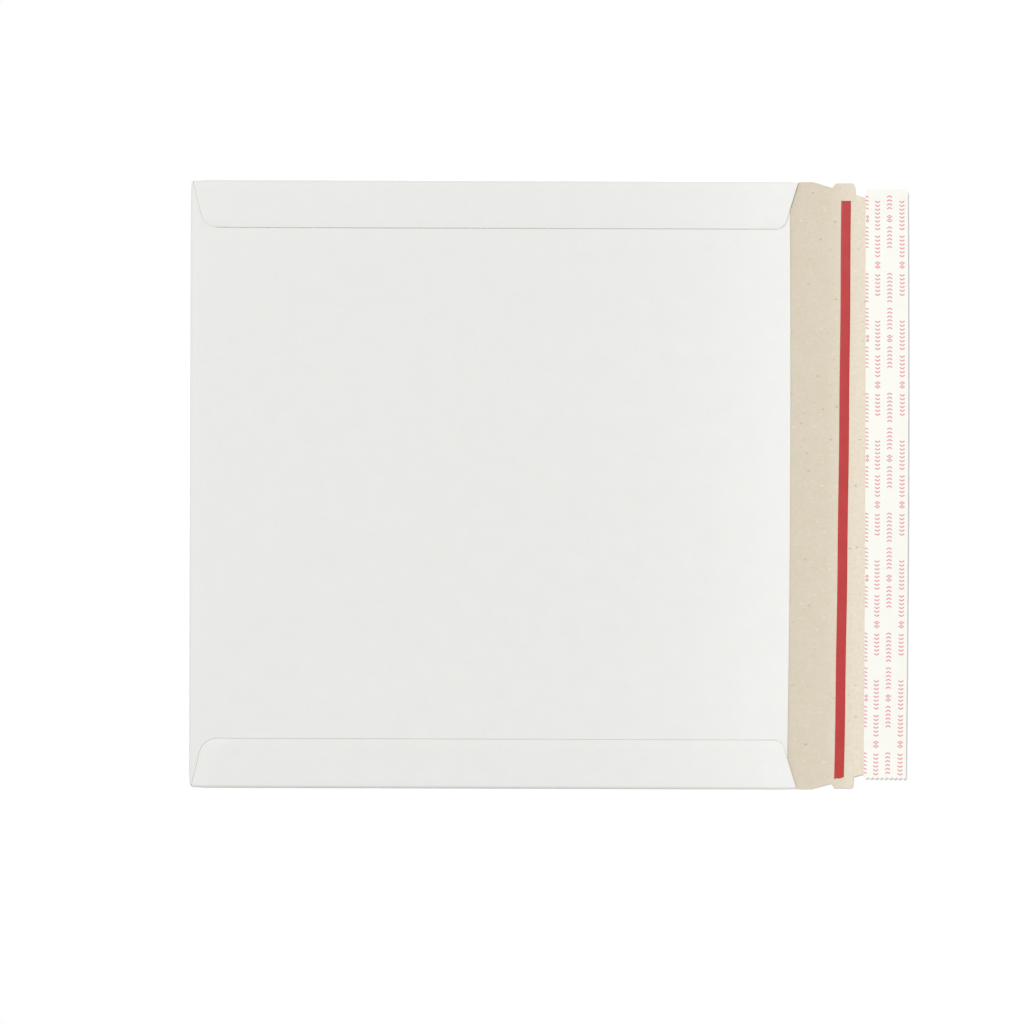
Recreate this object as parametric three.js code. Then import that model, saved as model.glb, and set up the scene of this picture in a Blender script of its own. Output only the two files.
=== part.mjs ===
// A square mailing envelope of solid board, lying on its front face with the closure flap open.
// One die-cut blank is folded into a front wall, a back wall, two side seam flaps and a closure flap.
// Millimetres, +Z up. X runs from the bottom fold to the flap, Y from side fold to side fold.
// The origin is the middle of the pocket, on the outer face of the front wall.
import * as THREE from "three";

// Driving sizes of the board and the pocket
const boardThickness = 0.5;
const pocketLength = 251; // bottom fold to throat crease
const pocketWidth = 248; // side fold to side fold
const pocketGap = 0.5; // clear space between the two walls
const mouthSetback = 5.7; // from the throat crease back to the back wall's edge

// Driving sizes of the two side seams
const seamFlapWidth = 19.7;
const seamGap = 0.14; // from the back wall to a seam flap, where the glue is
const seamEndSetback = 2.8; // a side fold stops this far short of the throat crease
const bottomEndSlant = 13.2; // degrees off square, at the bottom fold
const throatEndSlant = 17; // degrees off square, at the throat
const slantStart = 0.6; // of the way round a side fold, where the throat end starts to slant
const bottomCornerRadius = 5.8; // of a seam flap's corner near the bottom fold
const throatCornerRadius = 3; // and of the one near the throat
const seamGlueWidth = 12;
const seamGlueMargin = 3; // from a seam flap's long edge to the glue
const seamGlueEndMargin = 8; // from the bottom fold, and from the back wall's edge, to the glue

// Driving sizes of the closure flap
const flapLength = 42.1; // throat crease to outer edge, along the board
const flapLift = 3; // degrees that the open flap springs up from the crease
const creaseRadius = 6;
const shoulderLength = 3.4; // straight side before the taper
const shoulderRelief = 0.3; // opens the cut between a seam flap and a shoulder
const flapTaper = 16.7; // degrees
const flapCornerRadius = 3;

// Driving sizes of the tear tab at each end of the flap
const tabStart = 11.2; // throat crease to the notch beside the tab
const tabRise = 0.9; // width of the notch's steep side
const tabWidth = 8.5; // steep side to the tab's far side
const tabInset = 0.5; // the tab's end stands this far inside the line of the side folds
const tabNearRadius = 1;
const tabFarRadius = 1.4;
const tabFarDraft = 0.1; // lean of the tab's far side

// Driving sizes of the films on the closure flap
const filmGap = 0.03; // between one film and what it lies on
const tapeWidth = 4;
const tapeThickness = 0.1;
const tapeSetOut = 16; // throat crease to the middle of the tear tape
const tapeSlant = 0.5; // degrees that the tape wanders off parallel
const tapeFarMargin = 7.7; // side fold to the tape's end, at +Y
const tapeNearMargin = 4.1; // side fold to the tape's end, at -Y
const tapeEndCut = 0.8; // how far the -Y end is cut out of square
const adhesiveWidth = 14;
const adhesiveThickness = 0.08;
const adhesiveEdgeMargin = 1; // flap's outer edge to the adhesive
const adhesiveEndMargin = 2.5; // flap's tapered end to the adhesive
const linerWidth = 17.4;
const linerThickness = 0.1;
const linerOverhang = 0.3; // past the flap's outer edge
const linerFarMargin = 2.5; // side fold to the liner's end, at +Y
const linerNearMargin = 4.4; // side fold to the liner's end, at -Y
const toothPitch = 1.93; // of the pinked ends
const toothDepth = 0.7;

// How finely the bends and rounded corners are stepped
const rollSteps = 8;
const creaseSteps = 2;
const cornerSteps = 6;

// Places that follow from the sizes
const halfWidth = pocketWidth / 2;
const creaseX = pocketLength / 2;
const seamEndX = creaseX - seamEndSetback;
const mouthX = creaseX - mouthSetback;
const halfBoard = boardThickness / 2;
const bottomRollRadius = (pocketGap + boardThickness) / 2;
const bottomRollX = halfBoard + bottomRollRadius - pocketLength / 2;
const bottomRollLength = Math.PI * bottomRollRadius;
const backWallTop = 2 * boardThickness + pocketGap;
const sideRollRadius = (backWallTop + seamGap) / 2;
const sideRollY = halfWidth - sideRollRadius - halfBoard;
const sideRollLength = Math.PI * sideRollRadius;
const seamFlatWidth = sideRollY - (halfWidth - seamFlapWidth);
const lift = THREE.MathUtils.degToRad(flapLift);
const creaseBendLength = creaseRadius * lift;
const flapFlatX = creaseX + creaseBendLength; // on the blank

// A half turn of board: where a point at distance s past the start of the bend goes.
// Returns its travel along the wall, its height and the direction of the inner face.
function roll(s, radius) {
  const bendLength = Math.PI * radius;
  if (s > bendLength) return { run: bendLength - s, rise: 2 * radius, nx: 0, nz: -1 };
  const angle = s / radius;
  return {
    run: radius * Math.sin(angle),
    rise: radius * (1 - Math.cos(angle)),
    nx: -Math.sin(angle),
    nz: Math.cos(angle),
  };
}

// Folds one point (u, v) of the flat blank. The front wall is where the blank stays flat.
// The point lies midway through the board, and the normal looks out of its inner, grey face.
function fold(u, v) {
  if (u < bottomRollX) {
    const bend = roll(bottomRollX - u, bottomRollRadius);
    return {
      point: new THREE.Vector3(bottomRollX - bend.run, v, halfBoard + bend.rise),
      normal: new THREE.Vector3(-bend.nx, 0, bend.nz),
    };
  }
  if (u <= seamEndX && Math.abs(v) > sideRollY) {
    const side = Math.sign(v);
    const bend = roll(Math.abs(v) - sideRollY, sideRollRadius);
    return {
      point: new THREE.Vector3(u, side * (sideRollY + bend.run), halfBoard + bend.rise),
      normal: new THREE.Vector3(0, side * bend.nx, bend.nz),
    };
  }
  const pastCrease = Math.max(u - creaseX, 0);
  const angle = Math.min(pastCrease / creaseRadius, lift);
  const straight = Math.max(pastCrease - creaseBendLength, 0);
  return {
    point: new THREE.Vector3(
      Math.min(u, creaseX) + creaseRadius * Math.sin(angle) + straight * Math.cos(angle),
      v,
      halfBoard + creaseRadius * (1 - Math.cos(angle)) + straight * Math.sin(angle),
    ),
    normal: new THREE.Vector3(-Math.sin(angle), 0, Math.cos(angle)),
  };
}

// The blank is drawn as patches: each is a list of rows, and each row a list of [u, v] points.
const steps = (count) => Array.from({ length: count + 1 }, (_, i) => i / count);
const acrossWall = (u) => [
  [u, -sideRollY],
  [u, sideRollY],
];

function frontWallPatch() {
  return [acrossWall(bottomRollX), acrossWall(seamEndX)];
}

function backWallPatch() {
  const mouthOnBlank = bottomRollX - bottomRollLength - (mouthX - bottomRollX);
  const bend = steps(rollSteps).map((k) => acrossWall(bottomRollX - k * bottomRollLength));
  return [...bend, acrossWall(mouthOnBlank)];
}

// Side is 1 for the seam flap at +Y, and -1 for the one at -Y.
function seamFlapPatch(side) {
  const freeEdge = sideRollLength + seamFlatWidth;
  const bottomSlope = Math.tan(THREE.MathUtils.degToRad(bottomEndSlant));
  const throatSlope = Math.tan(THREE.MathUtils.degToRad(throatEndSlant));
  const rounding = (s, radius) => {
    const intoCorner = Math.max(s - freeEdge + radius, 0);
    return radius - Math.sqrt(radius ** 2 - intoCorner ** 2);
  };
  const row = (s) => {
    const pastSlantStart = Math.max(s - slantStart * sideRollLength, 0);
    const bottomEnd = bottomRollX + s * bottomSlope + rounding(s, bottomCornerRadius);
    const throatEnd = seamEndX - pastSlantStart * throatSlope - rounding(s, throatCornerRadius);
    return [
      [bottomEnd, side * (sideRollY + s)],
      [throatEnd, side * (sideRollY + s)],
    ];
  };
  const bend = steps(rollSteps).map((k) => row(k * sideRollLength));
  const corner = steps(cornerSteps).map((k) =>
    row(freeEdge - bottomCornerRadius * (1 - Math.sin((k * Math.PI) / 2))),
  );
  return [...bend, ...corner];
}

// Half width of the closure flap at a distance past the throat crease, where its side tapers.
function taperedHalfWidth(past) {
  return halfWidth - (past - shoulderLength) * Math.tan(THREE.MathUtils.degToRad(flapTaper));
}

// The +Y side of the closure flap, from the end of the side fold to the flap's outer edge.
function flapOutline() {
  const outline = new THREE.Path();
  outline.moveTo(seamEndX, sideRollY);
  outline.lineTo(seamEndX + shoulderRelief, halfWidth);
  for (const k of steps(creaseSteps)) outline.lineTo(creaseX + k * creaseBendLength, halfWidth);
  outline.lineTo(creaseX + shoulderLength, halfWidth);

  const tabEnd = halfWidth - tabInset;
  const tabNear = creaseX + tabStart + tabRise;
  const tabFar = tabNear + tabWidth;
  const afterTab = tabStart + tabRise + tabWidth + tabFarDraft;
  outline.lineTo(creaseX + tabStart, taperedHalfWidth(tabStart));
  const [nearX, farX] = [tabNear + tabNearRadius, tabFar - tabFarRadius];
  outline.absarc(nearX, tabEnd - tabNearRadius, tabNearRadius, Math.PI, Math.PI / 2, true);
  outline.absarc(farX, tabEnd - tabFarRadius, tabFarRadius, Math.PI / 2, 0, true);
  outline.lineTo(creaseX + afterTab, taperedHalfWidth(afterTab));

  const cornerStart = flapLength - flapCornerRadius;
  const sharpCorner = taperedHalfWidth(flapLength);
  outline.lineTo(creaseX + cornerStart, taperedHalfWidth(cornerStart));
  outline.quadraticCurveTo(
    creaseX + flapLength,
    sharpCorner,
    creaseX + flapLength,
    sharpCorner - flapCornerRadius,
  );
  return outline.getPoints(cornerSteps);
}

// Each row runs straight across the flap, and its middle stretch starts as wide as the front wall.
function closureFlapPatch() {
  return flapOutline().map(({ x, y }) => {
    const middle = Math.min(y, sideRollY);
    return [
      [x, -y],
      [x, -middle],
      [x, middle],
      [x, y],
    ];
  });
}

// Turns patches of the blank into one closed solid of folded board, of even thickness.
// Points that two patches share are one vertex, so the faces and the cut edges close up.
function boardSolid(patches) {
  const vertices = [];
  const numbers = new Map();
  const blank = [];
  const numberOf = ([u, v]) => {
    const key = `${u.toFixed(5)},${v.toFixed(5)}`;
    if (!numbers.has(key)) {
      numbers.set(key, blank.length);
      blank.push([u, v]);
      const { point, normal } = fold(u, v);
      for (const side of [1, -1])
        vertices.push(...point.clone().addScaledVector(normal, side * halfBoard));
    }
    return numbers.get(key);
  };

  // The inner face of blank point i is vertex 2i, and its outer face is vertex 2i + 1.
  const index = [];
  const openEdges = new Map();
  const addEdge = (a, b) => {
    if (!openEdges.delete(`${b} ${a}`)) openEdges.set(`${a} ${b}`, [a, b]);
  };
  const addTriangle = (a, b, c) => {
    if (a === b || b === c || c === a) return;
    const [[ua, va], [ub, vb], [uc, vc]] = [blank[a], blank[b], blank[c]];
    const turnsLeft = (ub - ua) * (vc - va) > (uc - ua) * (vb - va);
    const [p, q, r] = turnsLeft ? [a, b, c] : [a, c, b];
    index.push(2 * p, 2 * q, 2 * r, 2 * p + 1, 2 * r + 1, 2 * q + 1);
    addEdge(p, q);
    addEdge(q, r);
    addEdge(r, p);
  };
  for (const rows of patches) {
    const grid = rows.map((row) => row.map(numberOf));
    for (let i = 1; i < grid.length; i++) {
      for (let j = 1; j < grid[i].length; j++) {
        addTriangle(grid[i - 1][j - 1], grid[i][j - 1], grid[i][j]);
        addTriangle(grid[i - 1][j - 1], grid[i][j], grid[i - 1][j]);
      }
    }
  }
  for (const [a, b] of openEdges.values())
    index.push(2 * a, 2 * a + 1, 2 * b + 1, 2 * a, 2 * b + 1, 2 * b);

  const geometry = new THREE.BufferGeometry();
  geometry.setAttribute("position", new THREE.Float32BufferAttribute(vertices, 3));
  geometry.setIndex(index);
  const faceted = geometry.toNonIndexed();
  faceted.computeVertexNormals();
  return faceted;
}

// A thin film with the given outline, lying on z = 0.
function film(outline, thickness) {
  return new THREE.ExtrudeGeometry(new THREE.Shape(outline), { depth: thickness, bevelEnabled: false });
}

// The tape's -Y end is cut out of square, as it tears off the reel.
function tapeOutline(length) {
  const [x, y] = [tapeWidth / 2, length / 2];
  return [
    new THREE.Vector2(-x, -y),
    new THREE.Vector2(x, -y + tapeEndCut),
    new THREE.Vector2(x, y),
    new THREE.Vector2(-x, y),
  ];
}

// Both ends of the liner are pinked. The teeth fill the width, at close to their own pitch.
function linerOutline(length) {
  const teeth = Math.round(linerWidth / toothPitch);
  const points = [];
  for (const end of [-1, 1]) {
    for (const k of steps(2 * teeth)) {
      const atTip = Math.round(k * 2 * teeth) % 2 === 1;
      const reach = length / 2 - (atTip ? 0 : toothDepth);
      points.push(new THREE.Vector2(end * (k - 0.5) * -linerWidth, end * reach));
    }
  }
  return points;
}

function mesh(name, geometry, color, roughness) {
  const made = new THREE.Mesh(geometry, new THREE.MeshStandardMaterial({ color, roughness, metalness: 0 }));
  made.name = name;
  return made;
}

const envelope = new THREE.Group();

const board = boardSolid([
  frontWallPatch(),
  backWallPatch(),
  seamFlapPatch(1),
  seamFlapPatch(-1),
  closureFlapPatch(),
]);
envelope.add(mesh("envelope_board", board, 0xeeeeec, 0.75));

// A line of glue holds each seam flap down on the back wall.
const glueThickness = seamGap - 2 * filmGap;
const glueStart = seamGlueEndMargin - pocketLength / 2;
const glueEnd = mouthX - seamGlueEndMargin;
for (const [name, side] of [["seam_glue_left", 1], ["seam_glue_right", -1]]) {
  const glue = mesh(
    name,
    new THREE.BoxGeometry(glueEnd - glueStart, seamGlueWidth, glueThickness),
    0xe6e0cf,
    0.5,
  );
  glue.position.set(
    (glueStart + glueEnd) / 2,
    side * (halfWidth - seamFlapWidth + seamGlueMargin + seamGlueWidth / 2),
    backWallTop + seamGap / 2,
  );
  envelope.add(glue);
}

// What is stuck on the closure flap lies in a group on its inner face. The group starts where the
// crease's bend ends, and leans back with the flap.
const flapTop = new THREE.Group();
const bendEnd = fold(flapFlatX, 0);
flapTop.position.copy(bendEnd.point).addScaledVector(bendEnd.normal, halfBoard);
flapTop.rotation.y = -lift;
envelope.add(flapTop);

const tapeLength = pocketWidth - tapeFarMargin - tapeNearMargin;
const tape = mesh("tear_tape", film(tapeOutline(tapeLength), tapeThickness), 0xc74e4b, 0.4);
tape.position.set(tapeSetOut - creaseBendLength, (tapeNearMargin - tapeFarMargin) / 2, filmGap);
tape.rotation.z = THREE.MathUtils.degToRad(-tapeSlant);
flapTop.add(tape);

const flapEdge = flapLength - creaseBendLength;
const adhesiveLength = 2 * (taperedHalfWidth(flapLength) - adhesiveEndMargin);
const adhesive = mesh(
  "flap_adhesive",
  new THREE.BoxGeometry(adhesiveWidth, adhesiveLength, adhesiveThickness),
  0xe9e4d2,
  0.3,
);
adhesive.position.set(
  flapEdge - adhesiveEdgeMargin - adhesiveWidth / 2,
  0,
  filmGap + adhesiveThickness / 2,
);
flapTop.add(adhesive);

const linerLength = pocketWidth - linerFarMargin - linerNearMargin;
const liner = mesh("release_liner", film(linerOutline(linerLength), linerThickness), 0xfbfaf1, 0.45);
liner.position.set(
  flapEdge + linerOverhang - linerWidth / 2,
  (linerNearMargin - linerFarMargin) / 2,
  2 * filmGap + adhesiveThickness,
);
flapTop.add(liner);

export default envelope;
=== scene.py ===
import math

import bpy
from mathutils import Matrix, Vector


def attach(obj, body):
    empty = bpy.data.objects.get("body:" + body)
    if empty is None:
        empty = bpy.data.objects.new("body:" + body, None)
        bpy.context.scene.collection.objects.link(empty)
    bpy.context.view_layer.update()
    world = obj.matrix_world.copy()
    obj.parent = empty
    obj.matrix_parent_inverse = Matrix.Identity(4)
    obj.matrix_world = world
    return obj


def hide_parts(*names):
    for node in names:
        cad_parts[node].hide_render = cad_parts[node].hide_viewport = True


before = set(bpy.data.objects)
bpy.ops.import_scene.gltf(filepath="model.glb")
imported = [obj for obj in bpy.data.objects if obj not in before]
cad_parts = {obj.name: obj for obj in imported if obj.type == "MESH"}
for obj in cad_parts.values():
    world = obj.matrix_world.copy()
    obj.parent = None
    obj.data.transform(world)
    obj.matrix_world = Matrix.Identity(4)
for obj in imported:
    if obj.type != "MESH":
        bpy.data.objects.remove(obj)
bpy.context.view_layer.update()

# The folded board
#
# One die-cut blank of solid board, white and coated outside, bare grey inside. Creasing rules press
# its fold lines, and it is folded round into a pocket, with the closure flap standing open.

# Sizes are in millimetres, and mm turns them into metres. A place on the flat blank is (u, v), and
# on the front wall u is also X.
mm = 0.001
board_thickness = 0.5
pocket_length = 251
pocket_width = 248
pocket_gap = 0.5
mouth_setback = 5.7
mouth_bow = 0.8  # how far the two ends of the mouth lie back from its middle
mouth_skew = 0.2  # how far its +Y end lies forward of square, and its -Y end back
seam_flap_width = 19.7
fold_drift = 0.3  # the folder ran this far off the creases, and made one seam flap the wider
seam_gap = 0.14
seam_end_setback = 2.8
bottom_end_slant = math.radians(13.2)
throat_end_slant = math.radians(17)
slant_start = 0.6  # of the way round a side fold
bottom_corner_radius = 5.8  # of a seam flap's corner near the bottom fold
throat_corner_radius = 3  # and of the one near the throat
seam_glue_margin = 3
flap_length = 42.1
flap_lift = math.radians(3)
crease_radius = 6
shoulder_length = 3.4
shoulder_relief = 0.1
flap_taper = math.radians(16.7)
flap_corner_radius = 3
tab_start = 11.2
tab_rise = 0.9
tab_width = 8.5
tab_inset = 0.5
tab_near_radius = 1
tab_far_radius = 1.4
tab_far_draft = 0.1

half_width = pocket_width / 2
half_board = board_thickness / 2
crease_x = pocket_length / 2
seam_end_x = crease_x - seam_end_setback
mouth_x = crease_x - mouth_setback
bottom_roll_radius = (pocket_gap + board_thickness) / 2
bottom_roll_x = half_board + bottom_roll_radius - pocket_length / 2
bottom_roll_length = math.pi * bottom_roll_radius
side_roll_radius = (2 * board_thickness + pocket_gap + seam_gap) / 2
side_roll_y = half_width - side_roll_radius - half_board
side_roll_length = math.pi * side_roll_radius
seam_flat_width = side_roll_y - (half_width - seam_flap_width)
crease_bend_length = crease_radius * flap_lift

roll_steps = 16
corner_steps = 10
seam_corner_steps = 6
grid_pitch = 5
seam_row_pitch = 2
flap_row_pitch = 1.5
side_strip_columns = 3
least_step = 1e-6
sharp_angle = math.radians(40)  # a wider angle between two faces shows as an edge

sag_depth = 0.34  # how far the empty pocket's back wall sinks towards the front wall
seam_hold = 1  # a seam flap holds the wall up as far as this past its free edge
seam_sag_margin = 45  # from there to the full depth
fold_hold = 3  # the bottom fold holds it up this far
fold_sag_margin = 67.5  # and from there to the full depth
ripple_height = 0.04  # of the slight waves in the sunken wall
ripple_length = 21  # along the pocket, for a radian of the wave
ripple_width = 29  # and across it
ripple_shift = 1.3
lip_start = 112  # from here to the crease the front wall lifts off the floor
lip_rise = 0.4
pinch = 0.33  # how far the folds are pressed together at the mouth's two ends
free_edge_dip = 0.1  # how far a seam flap is pressed down past its glue
dip_unevenness = 0.2  # the share of that by which it varies along the edge
dip_length = 33
bead_height = 0.08  # of the ridge that the creasing rule leaves along the throat
bead_width = 0.55
bead_rows = (-0.8, -0.4, 0, crease_bend_length, 0.7, 1.1)  # rows across the ridge, from the crease
knife_slant = 0.035  # the cutting rule drags the white face's edge back from the grey face's
seam_lean = Vector((0, -0.25))  # and it leans a little on the seam flaps
end_lean = Vector((-0.3, 0))  # and on their half near the bottom fold, towards that fold too
crushed = 0.4  # of the board's thickness is left at a cut edge, where the white face is pressed in
flap_bow = 0.55  # how far the ends of the flap's outer edge lie back from its middle
flap_wave = 0.14  # how far the open flap's outer edge waves up and down
flap_wave_length = 43
flap_wave_shift = 0.8


def eased(value):
    """A smooth rise from 0 to 1, flat at both ends."""
    value = min(max(value, 0), 1)
    return value * value * (3 - 2 * value)


def lip(x):
    """How far a place is on the way from the flat pocket to its lifted lip, 0 to 1."""
    return eased((x - lip_start) / (crease_x - lip_start))


def sag(x, y):
    """How far the back wall sinks. It is held up at the seams, and pinched at the mouth's ends."""
    across = eased((half_width - seam_flap_width - seam_hold - abs(y)) / seam_sag_margin)
    along = eased((x + pocket_length / 2 - fold_hold) / fold_sag_margin)
    ripple = ripple_height * math.sin(x / ripple_length + ripple_shift)
    ripple *= math.cos(y / ripple_width)
    pinched = pinch * lip(x)
    return pinched + across * (sag_depth * along + ripple - pinched)


def roll(distance, radius):
    """A half turn of board: travel along the wall, height, and the inner face's direction."""
    bend_length = math.pi * radius
    if distance > bend_length:
        return bend_length - distance, 2 * radius, 0, -1
    angle = distance / radius
    return (
        radius * math.sin(angle),
        radius * (1 - math.cos(angle)),
        -math.sin(angle),
        math.cos(angle),
    )


def fold(u, v):
    """Folds one point of the flat blank: its place midway through the board, and the direction
    that the inner face looks in."""
    if u < bottom_roll_x:
        run, rise, along, up = roll(bottom_roll_x - u, bottom_roll_radius)
        x = bottom_roll_x - run
        loose = rise / (2 * bottom_roll_radius)
        bow = mouth_bow * (v / half_width) ** 2 - mouth_skew * v / half_width
        bowed_x = x - bow * eased((x + crease_x) / mouth_x / 2)
        height = half_board + rise - loose * sag(x, v) + lip_rise * lip(x)
        return Vector((bowed_x, v, height)), Vector((-along, 0, up))
    if u <= seam_end_x + shoulder_relief / 2 and abs(v) > side_roll_y:
        side = math.copysign(1, v)
        distance = abs(v) - side_roll_y
        run, rise, along, up = roll(distance, side_roll_radius)
        past_glue = distance - side_roll_length - seam_flat_width + seam_glue_margin
        dip = free_edge_dip * eased(past_glue / seam_glue_margin)
        dip *= 1 + dip_unevenness * math.sin(u / dip_length)
        y = side * (side_roll_y + run)
        lift = (lip_rise - pinch * rise / (2 * side_roll_radius)) * lip(u)
        return Vector((u, y, half_board + rise - dip + lift)), Vector((0, side * along, up))
    past = max(u - crease_x, 0)
    angle = min(past / crease_radius, flap_lift)
    straight = max(past - crease_bend_length, 0)
    direction = Vector((math.cos(angle), 0, math.sin(angle)))
    normal = Vector((-math.sin(angle), 0, math.cos(angle)))
    bow = flap_bow * past / flap_length * (v / half_width) ** 2
    point = Vector((
        min(u, crease_x) + crease_radius * math.sin(angle) - bow,
        v,
        half_board + crease_radius * (1 - math.cos(angle)) + lip_rise * lip(u),
    ))
    bead = bead_height * math.exp(-((u - crease_x) / bead_width) ** 2)
    wave = flap_wave * (past / flap_length) ** 2
    wave *= math.sin(v / flap_wave_length + flap_wave_shift)
    return point + straight * direction + (bead + wave) * normal, normal


def evenly(start, end, pitch):
    """Places from start to end, about pitch apart."""
    count = max(1, round(abs(end - start) / pitch))
    return [start + (end - start) * k / count for k in range(count + 1)]


def front_wall_rows():
    return [
        [(u, v) for v in evenly(-side_roll_y, side_roll_y, grid_pitch)]
        for u in evenly(bottom_roll_x, seam_end_x, grid_pitch)
    ]


def back_wall_rows():
    mouth_on_blank = bottom_roll_x - bottom_roll_length - (mouth_x - bottom_roll_x)
    bend_end = bottom_roll_x - bottom_roll_length
    stations = evenly(bottom_roll_x, bend_end, bottom_roll_length / roll_steps)
    stations += evenly(bend_end, mouth_on_blank, grid_pitch)[1:]
    return [[(u, v) for v in evenly(-side_roll_y, side_roll_y, grid_pitch)] for u in stations]


def rounding(from_edge, radius):
    """How far a round corner lies back from the sharp one, at a distance from the free edge."""
    into_corner = max(from_edge + radius, 0)
    return radius - math.sqrt(max(radius ** 2 - into_corner ** 2, 0))


def seam_flap_rows(side):
    """Side is 1 for the seam flap at +Y, and -1 for the one at -Y. Its ends slant in, and its two
    outer corners are round."""
    free_edge = side_roll_length + seam_flat_width - side * fold_drift
    stations = evenly(0, side_roll_length, side_roll_length / roll_steps)
    stations += evenly(side_roll_length, free_edge - bottom_corner_radius, seam_row_pitch)[1:-1]
    for angle in evenly(0, math.pi / 2, math.pi / 2 / seam_corner_steps):
        stations.append(free_edge - bottom_corner_radius * (1 - math.sin(angle)))
    rows = []
    for s in stations:
        start = bottom_roll_x + s * math.tan(bottom_end_slant)
        start += rounding(s - free_edge, bottom_corner_radius)
        past_turn = max(s - slant_start * side_roll_length, 0)
        end = seam_end_x - past_turn * math.tan(throat_end_slant)
        end -= rounding(s - free_edge, throat_corner_radius)
        columns = len(evenly(bottom_roll_x, seam_end_x, grid_pitch)) - 1
        row = [start + (end - start) * k / columns for k in range(columns + 1)]
        rows.append([(u, side * (side_roll_y + s)) for u in row])
    return rows


def tapered_half_width(past):
    """Half width of the closure flap at a distance past the throat crease."""
    return half_width - (past - shoulder_length) * math.tan(flap_taper)


def quarter_turn(centre_u, centre_v, radius, start_angle):
    """A rounded corner of a tear tab, turning clockwise."""
    angles = evenly(start_angle, start_angle - math.pi / 2, math.pi / 2 / corner_steps)
    return [(centre_u + radius * math.cos(a), centre_v + radius * math.sin(a)) for a in angles]


def flap_outline():
    """The +Y side of the closure flap, from the end of the side fold to its outer edge."""
    tab_end = half_width - tab_inset
    tab_near = crease_x + tab_start + tab_rise
    tab_far = tab_near + tab_width
    after_tab = tab_start + tab_rise + tab_width + tab_far_draft
    corner_start = flap_length - flap_corner_radius
    sharp_corner = tapered_half_width(flap_length)
    corner_start_v = tapered_half_width(corner_start)
    outline = [
        (seam_end_x, side_roll_y),
        (seam_end_x + shoulder_relief, half_width),
        *[(crease_x + past, half_width) for past in bead_rows],
        (crease_x + shoulder_length, half_width),
        (crease_x + tab_start, tapered_half_width(tab_start)),
    ]
    outline += quarter_turn(
        tab_near + tab_near_radius, tab_end - tab_near_radius, tab_near_radius, math.pi
    )
    outline += quarter_turn(
        tab_far - tab_far_radius, tab_end - tab_far_radius, tab_far_radius, math.pi / 2
    )
    outline.append((crease_x + after_tab, tapered_half_width(after_tab)))
    outline.append((crease_x + corner_start, corner_start_v))
    for k in evenly(0, 1, 1 / corner_steps)[1:]:
        across = (1 - k) ** 2 * corner_start + (2 * k - k * k) * flap_length
        beside = (
            (1 - k) ** 2 * corner_start_v
            + 2 * k * (1 - k) * sharp_corner
            + k * k * (sharp_corner - flap_corner_radius)
        )
        outline.append((crease_x + across, beside))
    stepped = outline[:1]
    for (u0, v0), (u1, v1) in zip(outline, outline[1:]):
        rows = evenly(0, 1, flap_row_pitch / max(u1 - u0, least_step))
        stepped += [(u0 + (u1 - u0) * k, v0 + (v1 - v0) * k) for k in rows[1:]]
    return stepped


def closure_flap_rows():
    """Each row runs straight across the flap, and its middle starts as wide as the front wall."""
    rows = []
    for u, v in flap_outline():
        middle = min(v, side_roll_y)
        strip = [middle + (v - middle) * k / side_strip_columns for k in range(side_strip_columns + 1)]
        row = [-y for y in reversed(strip)]
        row += [y * middle / side_roll_y for y in evenly(-side_roll_y, side_roll_y, grid_pitch)[1:-1]]
        rows.append([(u, y) for y in row + strip])
    return rows


def board_solid(patches):
    """Turns patches of the blank into one closed solid of folded board. Each blank point gives an
    inner vertex, 2i, and an outer one, 2i + 1. Points that two patches share are one point."""
    blank = []
    numbers = {}

    def number_of(u, v):
        key = (round(u, 4), round(v, 4))
        if key not in numbers:
            numbers[key] = len(blank)
            blank.append(Vector((u, v)))
        return numbers[key]

    faces = []
    materials = []
    open_edges = set()
    for rows in patches:
        grid = [[number_of(u, v) for u, v in row] for row in rows]
        for near, far in zip(grid, grid[1:]):
            for j in range(len(near) - 1):
                corners = list(dict.fromkeys((near[j], far[j], far[j + 1], near[j + 1])))
                if len(corners) < 3:
                    continue
                places = [blank[c] for c in corners]
                if sum(p.cross(q) for p, q in zip(places, places[1:] + places[:1])) < 0:
                    corners.reverse()
                faces.append([2 * c for c in corners])
                faces.append([2 * c + 1 for c in reversed(corners)])
                materials += [1, 0]
                for a, b in zip(corners, corners[1:] + corners[:1]):
                    if (b, a) in open_edges:
                        open_edges.remove((b, a))
                    else:
                        open_edges.add((a, b))

    outward = {}
    for a, b in sorted(open_edges):
        faces.append([2 * a, 2 * a + 1, 2 * b + 1, 2 * b])
        materials.append(2)
        along = (blank[b] - blank[a]).normalized()
        for end in (a, b):
            outward[end] = outward.get(end, Vector((0, 0))) + Vector((along.y, -along.x))
    vertices = []
    blank_mm = []
    for number, place in enumerate(blank):
        for depth in (half_board, -half_board):
            cut = place.copy()
            if number in outward:
                depth = half_board - crushed * (half_board - depth)
                slant = knife_slant * outward[number].normalized()
                if abs(place.x - seam_end_x) <= shoulder_relief:
                    slant = Vector((0, 0))
                elif abs(place.y) > side_roll_y + side_roll_length:
                    slant += seam_lean if place.x > 0 else seam_lean + end_lean
                cut += depth / board_thickness * slant
            point, normal = fold(*cut)
            vertices.append(mm * (point + depth * normal))
            blank_mm += [*cut, depth]

    mesh = bpy.data.meshes.new("folded_board")
    mesh.from_pydata(vertices, [], faces)
    mesh.polygons.foreach_set("material_index", materials)
    mesh.shade_smooth()
    mesh.set_sharp_from_angle(angle=sharp_angle)
    places = mesh.attributes.new("blank_mm", "FLOAT_VECTOR", "POINT")
    places.data.foreach_set("vector", blank_mm)
    return mesh


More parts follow.
